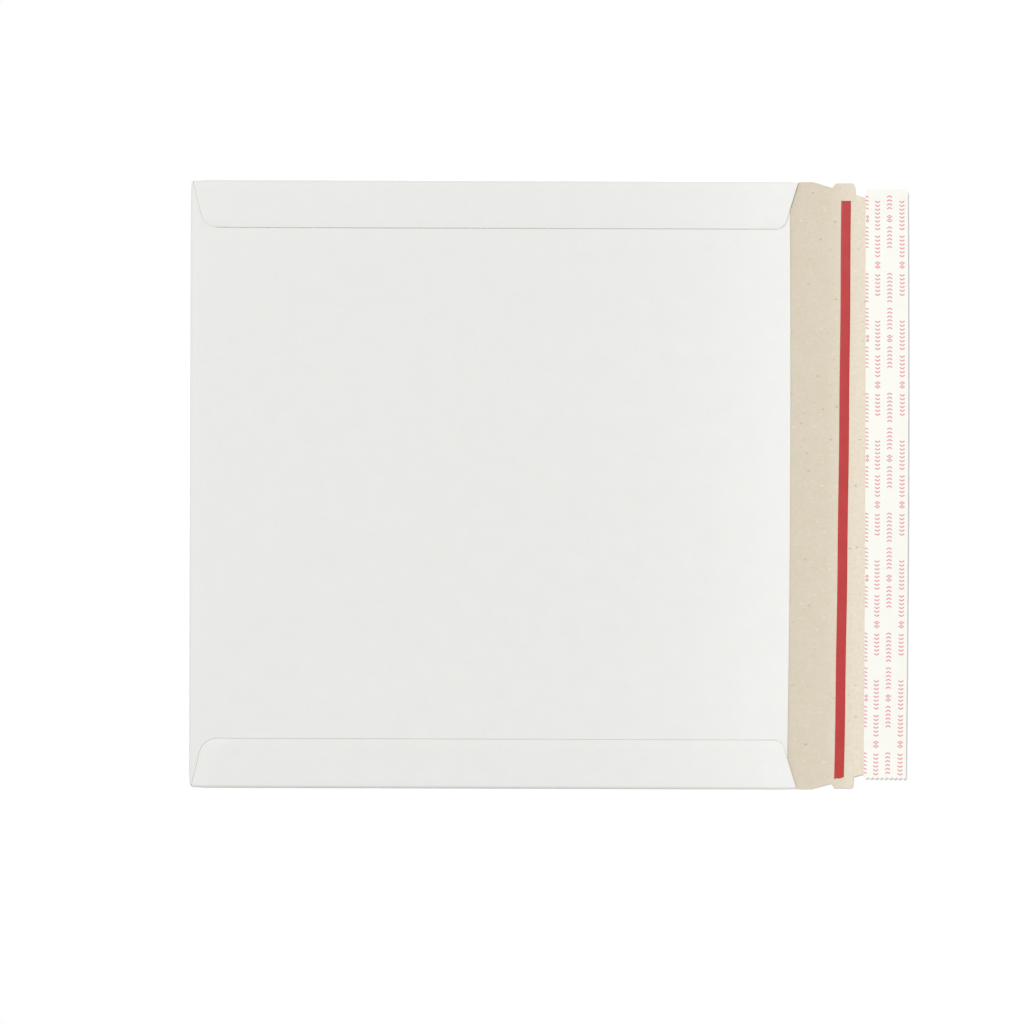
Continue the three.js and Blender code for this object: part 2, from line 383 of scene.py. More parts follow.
def colour(code):
    """The linear colour for an sRGB hex code."""
    parts = [int(code[k:k + 2], 16) / 255 for k in (1, 3, 5)]
    return (*[c / 12.92 if c <= 0.04045 else ((c + 0.055) / 1.055) ** 2.4 for c in parts], 1)


def add(tree, kind, inputs=None, **settings):
    """Adds a node to a tree. An input is a number or a colour, or the socket to link it to."""
    node = tree.nodes.new(kind)
    for name, value in settings.items():
        setattr(node, name, value)
    for name, value in (inputs or {}).items():
        if isinstance(value, bpy.types.NodeSocket):
            tree.links.new(value, node.inputs[name])
        else:
            node.inputs[name].default_value = value
    return node


def new_material(name):
    """An empty node material, its tree, and the output that its shader goes to."""
    material = bpy.data.materials.new(name)
    material.use_nodes = True
    material.node_tree.nodes.clear()
    return material, material.node_tree, material.node_tree.nodes.new("ShaderNodeOutputMaterial")


# Clay-coated white liner of solid board: smooth and nearly even, with the paper's faint cloudy
# formation under a dull satin coat. The coat crazes finely where the board is folded.
coated_white, tree, output = new_material("Clay-coated white board")
blank_mm = add(tree, "ShaderNodeAttribute", attribute_name="blank_mm").outputs["Vector"]
formation = add(tree, "ShaderNodeTexNoise", {"Vector": blank_mm, "Scale": 1 / 9, "Detail": 3})
pores = add(tree, "ShaderNodeTexNoise", {"Vector": blank_mm, "Scale": 1 / 0.7, "Detail": 2})
cloudy = add(
    tree,
    "ShaderNodeMix",
    {0: formation.outputs["Fac"], 6: colour("#ebebe8"), 7: colour("#f1f1ee")},
    data_type="RGBA",
)
speckled = add(
    tree,
    "ShaderNodeMix",
    {0: 0.35, 6: cloudy.outputs[2], 7: pores.outputs["Color"]},
    data_type="RGBA",
    blend_type="SOFT_LIGHT",
)
apart = add(tree, "ShaderNodeSeparateXYZ", {"Vector": blank_mm})
beside = add(tree, "ShaderNodeMath", {0: apart.outputs["Y"]}, operation="ABSOLUTE")
side_fold = add(
    tree,
    "ShaderNodeMath",
    {0: beside.outputs[0], 1: side_roll_y + side_roll_length / 2},
    operation="SUBTRACT",
)
bottom_fold = add(
    tree,
    "ShaderNodeMath",
    {0: apart.outputs["X"], 1: bottom_roll_x - bottom_roll_length / 2},
    operation="SUBTRACT",
)
side_distance = add(tree, "ShaderNodeMath", {0: side_fold.outputs[0]}, operation="ABSOLUTE")
bottom_distance = add(tree, "ShaderNodeMath", {0: bottom_fold.outputs[0]}, operation="ABSOLUTE")
fold_distance = add(
    tree,
    "ShaderNodeMath",
    {0: side_distance.outputs[0], 1: bottom_distance.outputs[0]},
    operation="MINIMUM",
)
on_fold = add(
    tree,
    "ShaderNodeMapRange",
    {"Value": fold_distance.outputs[0], "From Min": 1.6, "From Max": 0.2, "To Max": 0.5},
)
crazing = add(tree, "ShaderNodeTexNoise", {"Vector": blank_mm, "Scale": 1 / 0.5, "Detail": 4})
crazed = add(
    tree,
    "ShaderNodeMath",
    {0: on_fold.outputs["Result"], 1: crazing.outputs["Fac"]},
    operation="MULTIPLY",
)
folded = add(
    tree,
    "ShaderNodeMix",
    {0: crazed.outputs[0], 6: speckled.outputs[2], 7: colour("#d3d1ca")},
    data_type="RGBA",
)
satin = add(
    tree,
    "ShaderNodeMapRange",
    {"Value": formation.outputs["Fac"], "To Min": 0.48, "To Max": 0.6},
)
paper_bump = add(
    tree,
    "ShaderNodeBump",
    {"Strength": 0.25, "Distance": 0.00002, "Height": pores.outputs["Fac"]},
)
shader = add(
    tree,
    "ShaderNodeBsdfPrincipled",
    {
        "Base Color": folded.outputs[2],
        "Roughness": satin.outputs["Result"],
        "IOR": 1.5,
        "Normal": paper_bump.outputs["Normal"],
    },
)
tree.links.new(shader.outputs["BSDF"], output.inputs["Surface"])

# Unbleached greyboard, pressed from recycled fibre: a matt warm grey, mottled at about a
# millimetre, with short fibres lying along the web and a few dark and pale flecks. Towards the
# flap's outer edge it is painted lighter, as painted light for the brighter light there. The fibres
# are 0.1 mm wide, and are drawn at 0.4 mm so that they show.
greyboard, tree, output = new_material("Unbleached greyboard")
blank_mm = add(tree, "ShaderNodeAttribute", attribute_name="blank_mm").outputs["Vector"]
clouds = add(tree, "ShaderNodeTexNoise", {"Vector": blank_mm, "Scale": 1 / 14, "Detail": 3})
mottle = add(tree, "ShaderNodeTexNoise", {"Vector": blank_mm, "Scale": 1 / 1.3, "Detail": 3})
along_web = add(
    tree, "ShaderNodeVectorMath", {0: blank_mm, 1: (1 / 2.4, 1 / 0.4, 1)}, operation="MULTIPLY"
)
fibres = add(tree, "ShaderNodeTexNoise", {"Vector": along_web.outputs[0], "Scale": 1, "Detail": 2})
patches = add(tree, "ShaderNodeTexNoise", {"Vector": blank_mm, "Scale": 1 / 4.5, "Detail": 2})
patch_amount = add(
    tree,
    "ShaderNodeMapRange",
    {"Value": patches.outputs["Fac"], "From Min": 0.35, "From Max": 0.65},
)
toned = add(
    tree,
    "ShaderNodeMix",
    {0: clouds.outputs["Fac"], 6: colour("#d6cbb7"), 7: colour("#dfd6c4")},
    data_type="RGBA",
)
tinted = add(
    tree,
    "ShaderNodeMix",
    {0: patch_amount.outputs["Result"], 6: colour("#d5cdb4"), 7: colour("#ddd0c0")},
    data_type="RGBA",
)
toned = add(
    tree,
    "ShaderNodeMix",
    {0: 0.5, 6: toned.outputs[2], 7: tinted.outputs[2]},
    data_type="RGBA",
)
across_blank = add(tree, "ShaderNodeSeparateXYZ", {"Vector": blank_mm})
# Painted light: past the tape the board is mixed towards a lighter colour, standing in for the
# brighter light on the flap's outer part.
painted_light_zone = add(
    tree,
    "ShaderNodeMapRange",
    {
        "Value": across_blank.outputs["X"],
        "From Min": crease_x + 9,
        "From Max": crease_x + 22,
        "To Max": 0.75,
    },
)
painted_light_mix = add(
    tree,
    "ShaderNodeMix",
    {0: painted_light_zone.outputs["Result"], 6: toned.outputs[2], 7: colour("#ece2cf")},
    data_type="RGBA",
)
mottled_amount = add(
    tree,
    "ShaderNodeMapRange",
    {"Value": mottle.outputs["Fac"], "From Min": 0.3, "From Max": 0.7, "To Max": 0.3},
)
mottled = add(
    tree,
    "ShaderNodeMix",
    {0: mottled_amount.outputs["Result"], 6: painted_light_mix.outputs[2], 7: colour("#cabea9")},
    data_type="RGBA",
)
fibre_amount = add(
    tree,
    "ShaderNodeMapRange",
    {"Value": fibres.outputs["Fac"], "From Min": 0.58, "From Max": 0.72, "To Max": 0.3},
)
fibred = add(
    tree,
    "ShaderNodeMix",
    {0: fibre_amount.outputs["Result"], 6: mottled.outputs[2], 7: colour("#e9e0cf")},
    data_type="RGBA",
)
surface = fibred.outputs[2]
for spacing, size, share, tint in (
    (6.3, 0.5, 0.3, "#a99d86"),
    (3.7, 0.36, 0.3, "#bcb09a"),
    (4.9, 0.5, 0.3, "#ebe3d2"),
):
    stray = add(
        tree, "ShaderNodeVectorMath", {0: mottle.outputs["Color"], 1: blank_mm}, operation="ADD"
    )
    stretched = add(
        tree,
        "ShaderNodeVectorMath",
        {0: stray.outputs[0], 1: (0.6, 1, 1)},
        operation="MULTIPLY",
    )
    cells = add(
        tree,
        "ShaderNodeTexVoronoi",
        {"Vector": stretched.outputs[0], "Scale": 1 / spacing, "Randomness": 1},
        voronoi_dimensions="2D",
    )
    chosen = add(
        tree, "ShaderNodeMath", {0: cells.outputs["Color"], 1: share}, operation="LESS_THAN"
    )
    near = add(
        tree,
        "ShaderNodeMapRange",
        {
            "Value": cells.outputs["Distance"],
            "From Min": size / spacing,
            "From Max": 0.4 * size / spacing,
        },
    )
    fleck = add(
        tree, "ShaderNodeMath", {0: chosen.outputs[0], 1: near.outputs["Result"]}, operation="MULTIPLY"
    )
    fleck = add(
        tree,
        "ShaderNodeMath",
        {0: fleck.outputs[0], 1: fibres.outputs["Fac"]},
        operation="MULTIPLY",
    )
    flecked = add(
        tree,
        "ShaderNodeMix",
        {0: fleck.outputs[0], 6: surface, 7: colour(tint)},
        data_type="RGBA",
    )
    surface = flecked.outputs[2]
fuzz = add(
    tree,
    "ShaderNodeMath",
    {0: mottle.outputs["Fac"], 1: fibres.outputs["Fac"]},
    operation="ADD",
)
fuzzy_bump = add(
    tree,
    "ShaderNodeBump",
    {"Strength": 0.5, "Distance": 0.00006, "Height": fuzz.outputs[0]},
)
shader = add(
    tree,
    "ShaderNodeBsdfPrincipled",
    {"Base Color": surface, "Roughness": 0.9, "IOR": 1.45, "Normal": fuzzy_bump.outputs["Normal"]},
)
tree.links.new(shader.outputs["BSDF"], output.inputs["Surface"])

# The die-cut edge shows the board's plies: grey fibre layers under the thin white liner.
cut_edge, tree, output = new_material("Die-cut board edge")
blank_mm = add(tree, "ShaderNodeAttribute", attribute_name="blank_mm").outputs["Vector"]
layered = add(
    tree, "ShaderNodeVectorMath", {0: blank_mm, 1: (1 / 3, 1 / 3, 1 / 0.08)}, operation="MULTIPLY"
)
plies = add(tree, "ShaderNodeTexNoise", {"Vector": layered.outputs[0], "Scale": 1, "Detail": 2})
core = add(
    tree,
    "ShaderNodeMix",
    {0: plies.outputs["Fac"], 6: colour("#a6a095"), 7: colour("#c6c1b6")},
    data_type="RGBA",
)
depth = add(tree, "ShaderNodeSeparateXYZ", {"Vector": blank_mm})
liner_line = add(
    tree,
    "ShaderNodeMapRange",
    {
        "Value": depth.outputs["Z"],
        "From Min": 0.06 - crushed * half_board,
        "From Max": 0.03 - crushed * half_board,
    },
)
edge = add(
    tree,
    "ShaderNodeMix",
    {0: liner_line.outputs["Result"], 6: core.outputs[2], 7: colour("#ededea")},
    data_type="RGBA",
)
shader = add(
    tree, "ShaderNodeBsdfPrincipled", {"Base Color": edge.outputs[2], "Roughness": 0.95, "IOR": 1.45}
)
tree.links.new(shader.outputs["BSDF"], output.inputs["Surface"])


def show(name, mesh, *materials):
    """Puts a finished mesh in the scene as a piece that rides on the envelope."""
    for material in materials:
        mesh.materials.append(material)
    piece = bpy.data.objects.new(name, mesh)
    bpy.context.scene.collection.objects.link(piece)
    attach(piece, "root")
    return piece


folded_board = show(
    "folded_board",
    board_solid([
        front_wall_rows(),
        back_wall_rows(),
        seam_flap_rows(1),
        seam_flap_rows(-1),
        closure_flap_rows(),
    ]),
    coated_white,
    greyboard,
    cut_edge,
)
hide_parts("envelope_board")


# The seam glue
#
# A line of water-based glue holds each seam flap down on the back wall. It dries to a thin cream
# film, hidden between the two boards, and keeps its CAD shape.

# Dried dispersion glue: cream, faintly streaked along the line that the nozzle drew. Object
# coordinates are in metres, so a streak of 30 mm by 1.2 mm takes the scales 1000 / 30 and 1000 / 1.2.
seam_glue, tree, output = new_material("Dried dispersion glue")
place = add(tree, "ShaderNodeTexCoord").outputs["Object"]
drawn_out = add(
    tree, "ShaderNodeVectorMath", {0: place, 1: (1000 / 30, 1000 / 1.2, 1)}, operation="MULTIPLY"
)
streaks = add(tree, "ShaderNodeTexNoise", {"Vector": drawn_out.outputs[0], "Scale": 1, "Detail": 3})
streaked = add(
    tree,
    "ShaderNodeMix",
    {0: streaks.outputs["Fac"], 6: colour("#ddd5c0"), 7: colour("#eee8d9")},
    data_type="RGBA",
)
shader = add(
    tree,
    "ShaderNodeBsdfPrincipled",
    {"Base Color": streaked.outputs[2], "Roughness": 0.45, "IOR": 1.47},
)
tree.links.new(shader.outputs["BSDF"], output.inputs["Surface"])
for node in ("seam_glue_left", "seam_glue_right"):
    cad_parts[node].data.materials.clear()
    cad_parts[node].data.materials.append(seam_glue)


# The tear tape
#
# Red film, 4 mm wide, laid down on the inside of the flap as the board runs through the folder.
# It wanders a little off straight, and its -Y end is torn off the reel out of square.

film_clearance = 0.01  # of the tape and the sealing strip over the board
tape_width = 4
tape_thickness = 0.1
tape_set_out = 16
tape_slant = math.radians(0.5)
tape_bow = 0.15  # how far the tape's two ends lag behind its middle
tape_wander = 0.05
tape_wander_length = 9
tape_top_y = half_width - 7.7
tape_bottom_y = 4.1 - half_width
tape_columns = (-1, -0.92, -0.5, 0, 0.5, 0.92, 1)
tape_crown = (0.8, 0.97, 1, 1, 1, 0.97, 0.8)
tape_torn_end = (0, 0.1, 0.45, 0.3, 0.55, 0.9, 0.8)
tape_row_pitch = 2.5


def flap_film(name, rows):
    """A thin film laid on the open flap. Each row is a list of (past, y, bottom, thickness): the
    distance past the throat crease, the place along the flap and the heights above the board."""
    vertices = []
    columns = len(rows[0])
    for row in rows:
        for past, y, bottom, thickness in row:
            point, normal = fold(crease_x + past, y)
            for height in (bottom + thickness, bottom):
                vertices.append(mm * (point + (half_board + height) * normal))
    faces = []
    for i in range(len(rows) - 1):
        for j in range(columns - 1):
            a, b = 2 * (i * columns + j), 2 * (i * columns + j + 1)
            c, d = b + 2 * columns, a + 2 * columns
            faces.append([a, b, c, d])
            faces.append([d + 1, c + 1, b + 1, a + 1])
    last = len(rows) - 1
    rim = [(0, j) for j in range(columns)]
    rim += [(i, columns - 1) for i in range(1, len(rows))]
    rim += [(last, j) for j in reversed(range(columns - 1))]
    rim += [(i, 0) for i in reversed(range(1, last))]
    for (i, j), (k, m) in zip(rim, rim[1:] + rim[:1]):
        a, b = 2 * (i * columns + j), 2 * (k * columns + m)
        faces.append([a, a + 1, b + 1, b])
    mesh = bpy.data.meshes.new(name)
    mesh.from_pydata(vertices, [], faces)
    mesh.shade_smooth()
    mesh.set_sharp_from_angle(angle=sharp_angle)
    return mesh


tape_rows = []
tape_stations = evenly(tape_bottom_y, tape_top_y, tape_row_pitch)
for i, y in enumerate(tape_stations):
    middle = tape_set_out + y * math.tan(tape_slant) - tape_bow * (y / half_width) ** 2
    middle += tape_wander * math.sin(y / tape_wander_length)
    row = []
    for across, crown, torn in zip(tape_columns, tape_crown, tape_torn_end):
        past = middle + across * tape_width / 2
        end_cut = torn if i == 0 else 0
        row.append((past, y + end_cut, film_clearance, tape_thickness * crown))
    tape_rows.append(row)

# Polypropylene film, dyed red and stretched lengthways as it is made: glossy and even, with fine
# lengthwise draw lines and slight blotches where it has bedded into the board.
red_film, tree, output = new_material("Red stretched polypropylene film")
place = add(tree, "ShaderNodeTexCoord").outputs["Object"]
lengthways = add(
    tree, "ShaderNodeVectorMath", {0: place, 1: (1000 / 0.35, 1000 / 25, 1)}, operation="MULTIPLY"
)
draw_lines = add(
    tree, "ShaderNodeTexNoise", {"Vector": lengthways.outputs[0], "Scale": 1, "Detail": 2}
)
bedding = add(tree, "ShaderNodeTexNoise", {"Vector": place, "Scale": 1000 / 7, "Detail": 3})
bedded = add(
    tree,
    "ShaderNodeMix",
    {0: bedding.outputs["Fac"], 6: colour("#b32b2a"), 7: colour("#bd3332")},
    data_type="RGBA",
)
drawn = add(
    tree,
    "ShaderNodeMix",
    {0: 0.25, 6: bedded.outputs[2], 7: draw_lines.outputs["Color"]},
    data_type="RGBA",
    blend_type="SOFT_LIGHT",
)
gloss = add(
    tree,
    "ShaderNodeMapRange",
    {"Value": bedding.outputs["Fac"], "To Min": 0.2, "To Max": 0.28},
)
film_bump = add(
    tree,
    "ShaderNodeBump",
    {"Strength": 0.3, "Distance": 0.00003, "Height": draw_lines.outputs["Fac"]},
)
shader = add(
    tree,
    "ShaderNodeBsdfPrincipled",
    {
        "Base Color": drawn.outputs[2],
        "Roughness": gloss.outputs["Result"],
        "IOR": 1.49,
        "Normal": film_bump.outputs["Normal"],
    },
)
tree.links.new(shader.outputs["BSDF"], output.inputs["Surface"])

tear_tape = show("tear_tape_film", flap_film("tear_tape_film", tape_rows), red_film)
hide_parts("tear_tape")


# The sealing strip
#
# A stripe of tacky adhesive, rolled on along the flap's outer edge. The liner covers it, so that
# it shows only as a thin line at the liner's edges from close by.

adhesive_width = 14
adhesive_columns = 4
adhesive_thickness = 0.08
adhesive_set_in = 1
adhesive_end_margin = 2.5
adhesive_outer = flap_length - adhesive_set_in
adhesive_inner = adhesive_outer - adhesive_width
adhesive_half_length = tapered_half_width(flap_length) - adhesive_end_margin

adhesive_rows = []
for y in evenly(-adhesive_half_length, adhesive_half_length, tape_row_pitch):
    stations = evenly(adhesive_inner, adhesive_outer, adhesive_width / adhesive_columns)
    adhesive_rows.append([(past, y, film_clearance, adhesive_thickness) for past in stations])

# Tacky transfer adhesive: a clear, slightly yellow film with a wet shine and a rolled ripple.
tacky, tree, output = new_material("Tacky transfer adhesive")
place = add(tree, "ShaderNodeTexCoord").outputs["Object"]
ripple = add(tree, "ShaderNodeTexNoise", {"Vector": place, "Scale": 1000 / 2, "Detail": 2})
tinted = add(
    tree,
    "ShaderNodeMix",
    {0: ripple.outputs["Fac"], 6: colour("#e3dcc6"), 7: colour("#efe9d8")},
    data_type="RGBA",
)
ripple_bump = add(
    tree,
    "ShaderNodeBump",
    {"Strength": 0.4, "Distance": 0.00005, "Height": ripple.outputs["Fac"]},
)
shader = add(
    tree,
    "ShaderNodeBsdfPrincipled",
    {
        "Base Color": tinted.outputs[2],
        "Roughness": 0.2,
        "IOR": 1.47,
        "Normal": ripple_bump.outputs["Normal"],
    },
)
tree.links.new(shader.outputs["BSDF"], output.inputs["Surface"])

sealing_strip = show("sealing_strip", flap_film("sealing_strip", adhesive_rows), tacky)
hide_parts("flap_adhesive")


# The release liner
#
# A strip of siliconised paper over the sealing strip, which the sender peels off. Its ends are
# pinked by the cutter, and stand free past the tapered board, where they curl up a little.

liner_width = 17.4
liner_thickness = 0.1
liner_overhang = 0.15  # past the flap's outer edge
liner_outer = flap_length + liner_overhang
liner_inner = liner_outer - liner_width
liner_top_y = half_width - 2.5
liner_bottom_y = 4.4 - half_width
liner_height = 0.12  # above the board, on the sealing strip
liner_row_pitch = 2
tooth_pitch = 1.93
tooth_depth = 0.7
curl_length = 16
curl_rise = 0.5
cockle_height = 0.025
cockle_length = 13
cockle_width = 7


def liner_lift(past, y):
    """The liner's height above the board: it lies on the strip, and curls up at its free ends."""
    from_end = min(liner_top_y - y, y - liner_bottom_y)
    curl = curl_rise * eased((curl_length - from_end) / curl_length) ** 2
    cockle = cockle_height * (1 + math.sin(y / cockle_length + past / cockle_width))
    return liner_height + curl + cockle


teeth = round(liner_width / tooth_pitch)
liner_rows = []
liner_stations = evenly(liner_bottom_y, liner_top_y, liner_row_pitch)
for i, y in enumerate(liner_stations):
    end = {0: 1, len(liner_stations) - 1: -1}.get(i, 0)
    row = []
    for k in range(2 * teeth + 1):
        past = liner_inner + liner_width * k / (2 * teeth)
        cut_back = 0 if k % 2 else end * tooth_depth
        place_y = y + cut_back
        row.append((past, place_y, liner_lift(past, place_y), liner_thickness))
    liner_rows.append(row)

# Siliconised release paper: smooth, warm white and slightly shiny, with a faint cloudy formation.
release_paper, tree, output = new_material("Siliconised release paper")
place = add(tree, "ShaderNodeTexCoord").outputs["Object"]
formation = add(tree, "ShaderNodeTexNoise", {"Vector": place, "Scale": 1000 / 4, "Detail": 4})
paper = add(
    tree,
    "ShaderNodeMix",
    {0: formation.outputs["Fac"], 6: colour("#efefe6"), 7: colour("#f4f4ed")},
    data_type="RGBA",
)
sheen = add(
    tree,
    "ShaderNodeMapRange",
    {"Value": formation.outputs["Fac"], "To Min": 0.35, "To Max": 0.5},
)
paper_bump = add(
    tree,
    "ShaderNodeBump",
    {"Strength": 0.2, "Distance": 0.00002, "Height": formation.outputs["Fac"]},
)
shader = add(
    tree,
    "ShaderNodeBsdfPrincipled",
    {
        "Base Color": paper.outputs[2],
        "Roughness": sheen.outputs["Result"],
        "IOR": 1.45,
        "Normal": paper_bump.outputs["Normal"],
    },
)
tree.links.new(shader.outputs["BSDF"], output.inputs["Surface"])

liner = show("liner_strip", flap_film("liner_strip", liner_rows), release_paper)
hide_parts("release_liner")


# The print on the liner
#
# Four rows of small pale pink marks run along the liner, and every other row is turned round. The
# roll is printed before it is cut, so the inner edge cuts through the first row.

print_height = 2.0
stroke = 0.55
ink_thickness = 0.01
ink_lift = 0.012  # the middle of the ink over the liner's face
mark_pitch = 1.577
repeat = 31  # places, of which some hold a mark
gap_places = (6, 9, 16)
last_place = 24.5  # and the places past this are empty too
pair_middle = 7.5  # places 7 and 8 hold the lozenges
pair_reach = 0.6
same = 0.1  # two whole numbers that are closer than this are one
row_past = (25.1, 29.8, 34.7, 39.8)
row_phase = (19, 0, 19, 0)
mark_reach = 0.56
lozenge_reach = 0.5
cut_chevron_foot = 0.15  # of the first row, where the liner's edge cuts off the rest
cut_lozenge_shift = 0.1

# Pale pink flexographic ink, thin and unevenly laid, so that the paper shows through.
pink_ink, tree, output = new_material("Pale pink flexographic ink")
place = add(tree, "ShaderNodeTexCoord").outputs["Object"]
coverage = add(tree, "ShaderNodeTexNoise", {"Vector": place, "Scale": 1000 / 0.6, "Detail": 2})
inked = add(
    tree,
    "ShaderNodeMix",
    {0: coverage.outputs["Fac"], 6: colour("#d98391"), 7: colour("#e6a9b3")},
    data_type="RGBA",
)
shader = add(
    tree, "ShaderNodeBsdfPrincipled", {"Base Color": inked.outputs[2], "Roughness": 0.5, "IOR": 1.45}
)
tree.links.new(shader.outputs["BSDF"], output.inputs["Surface"])

marks = bpy.data.node_groups.new("Printed row", "GeometryNodeTree")
marks.interface.new_socket("Geometry", in_out="OUTPUT", socket_type="NodeSocketGeometry")
sockets = {}
for name, kind in (
    ("Marks", "NodeSocketInt"),
    ("Mark pitch", "NodeSocketFloat"),
    ("Repeat", "NodeSocketInt"),
    ("Phase", "NodeSocketInt"),
    ("Direction", "NodeSocketFloat"),
    ("Half height", "NodeSocketFloat"),
    ("Lower half height", "NodeSocketFloat"),
    ("Reach", "NodeSocketFloat"),
    ("Lozenge middle", "NodeSocketFloat"),
    ("Lozenge half height", "NodeSocketFloat"),
    ("Lozenge half width", "NodeSocketFloat"),
    ("Stroke", "NodeSocketFloat"),
    ("Ink thickness", "NodeSocketFloat"),
    ("Ink", "NodeSocketMaterial"),
):
    sockets[name] = marks.interface.new_socket(name, in_out="INPUT", socket_type=kind).identifier
given = marks.nodes.new("NodeGroupInput").outputs

# The row is a line of points. Every repeat of 31 places has groups of 6, 2, 6 and 8 marks.
line_step = add(marks, "ShaderNodeCombineXYZ", {"Y": given["Mark pitch"]})
row_line = add(
    marks,
    "GeometryNodeMeshLine",
    {"Count": given["Marks"], "Offset": line_step.outputs["Vector"]},
)
index = add(marks, "GeometryNodeInputIndex")
shifted = add(marks, "ShaderNodeMath", {0: index.outputs[0], 1: given["Phase"]}, operation="ADD")
place_in_repeat = add(
    marks, "ShaderNodeMath", {0: shifted.outputs[0], 1: given["Repeat"]}, operation="FLOORED_MODULO"
)
left_out = add(
    marks,
    "ShaderNodeMath",
    {0: place_in_repeat.outputs[0], 1: last_place},
    operation="GREATER_THAN",
)
for gap in gap_places:
    here = add(
        marks,
        "ShaderNodeMath",
        {0: place_in_repeat.outputs[0], 1: gap, 2: same},
        operation="COMPARE",
    )
    left_out = add(
        marks, "ShaderNodeMath", {0: left_out.outputs[0], 1: here.outputs[0]}, operation="ADD"
    )
in_pair = add(
    marks,
    "ShaderNodeMath",
    {0: place_in_repeat.outputs[0], 1: pair_middle, 2: pair_reach},
    operation="COMPARE",
)
not_chevron = add(
    marks, "ShaderNodeMath", {0: left_out.outputs[0], 1: in_pair.outputs[0]}, operation="ADD"
)
in_long_group = add(
    marks, "ShaderNodeMath", {0: not_chevron.outputs[0], 1: 0.5}, operation="LESS_THAN"
)

# In the long groups a mark is a chevron: a bent stroke, swept with a flat section.
tip = add(marks, "ShaderNodeMath", {0: given["Reach"], 1: given["Direction"]}, operation="MULTIPLY")
upper = add(marks, "ShaderNodeCombineXYZ", {"X": given["Half height"]})
lower = add(marks, "ShaderNodeCombineXYZ", {"X": given["Lower half height"]})
point_of_chevron = add(marks, "ShaderNodeCombineXYZ", {"Y": tip.outputs[0]})
upper_leg = add(
    marks,
    "GeometryNodeCurvePrimitiveLine",
    {"Start": upper.outputs[0], "End": point_of_chevron.outputs[0]},
)
three_points = add(
    marks, "GeometryNodeResampleCurve", {"Curve": upper_leg.outputs["Curve"], "Count": 3}
)
point_index = add(marks, "GeometryNodeInputIndex")
is_middle = add(
    marks,
    "ShaderNodeMath",
    {0: point_index.outputs[0], 1: 1, 2: same},
    operation="COMPARE",
)
is_last = add(
    marks,
    "ShaderNodeMath",
    {0: point_index.outputs[0], 1: 2, 2: same},
    operation="COMPARE",
)
with_tip = add(
    marks,
    "GeometryNodeSetPosition",
    {
        "Geometry": three_points.outputs["Curve"],
        "Selection": is_middle.outputs[0],
        "Position": point_of_chevron.outputs[0],
    },
)
with_ends = add(
    marks,
    "GeometryNodeSetPosition",
    {
        "Geometry": with_tip.outputs["Geometry"],
        "Selection": is_last.outputs[0],
        "Position": lower.outputs[0],
    },
)
section = add(
    marks,
    "GeometryNodeCurvePrimitiveQuadrilateral",
    {"Width": given["Stroke"], "Height": given["Ink thickness"]},
)
chevron = add(
    marks,
    "GeometryNodeCurveToMesh",
    {
        "Curve": with_ends.outputs["Geometry"],
        "Profile Curve": section.outputs["Curve"],
        "Fill Caps": True,
    },
)
chevrons = add(
    marks,
    "GeometryNodeInstanceOnPoints",
    {
        "Points": row_line.outputs["Mesh"],
        "Selection": in_long_group.outputs[0],
        "Instance": chevron.outputs["Mesh"],
    },
)

# In the pair it is a lozenge, the same stroke bent round four corners.
square = add(marks, "GeometryNodeCurvePrimitiveCircle", {"Resolution": 4, "Radius": 1})
lozenge_middle = add(marks, "ShaderNodeCombineXYZ", {"X": given["Lozenge middle"]})
lozenge_size = add(
    marks,
    "ShaderNodeCombineXYZ",
    {"X": given["Lozenge half height"], "Y": given["Lozenge half width"], "Z": 1},
)
lozenge_line = add(
    marks,
    "GeometryNodeTransform",
    {
        "Geometry": square.outputs["Curve"],
        "Translation": lozenge_middle.outputs[0],
        "Scale": lozenge_size.outputs[0],
    },
)
lozenge = add(
    marks,
    "GeometryNodeCurveToMesh",
    {"Curve": lozenge_line.outputs["Geometry"], "Profile Curve": section.outputs["Curve"]},
)
lozenges = add(
    marks,
    "GeometryNodeInstanceOnPoints",
    {
        "Points": row_line.outputs["Mesh"],
        "Selection": in_pair.outputs[0],
        "Instance": lozenge.outputs["Mesh"],
    },
)
both_kinds = add(marks, "GeometryNodeJoinGeometry", {"Geometry": chevrons.outputs["Instances"]})
marks.links.new(lozenges.outputs["Instances"], both_kinds.inputs["Geometry"])
real = add(marks, "GeometryNodeRealizeInstances", {"Geometry": both_kinds.outputs["Geometry"]})
inked_marks = add(
    marks,
    "GeometryNodeSetMaterial",
    {"Geometry": real.outputs["Geometry"], "Material": given["Ink"]},
)
result = marks.nodes.new("NodeGroupOutput")
marks.links.new(inked_marks.outputs["Geometry"], result.inputs["Geometry"])

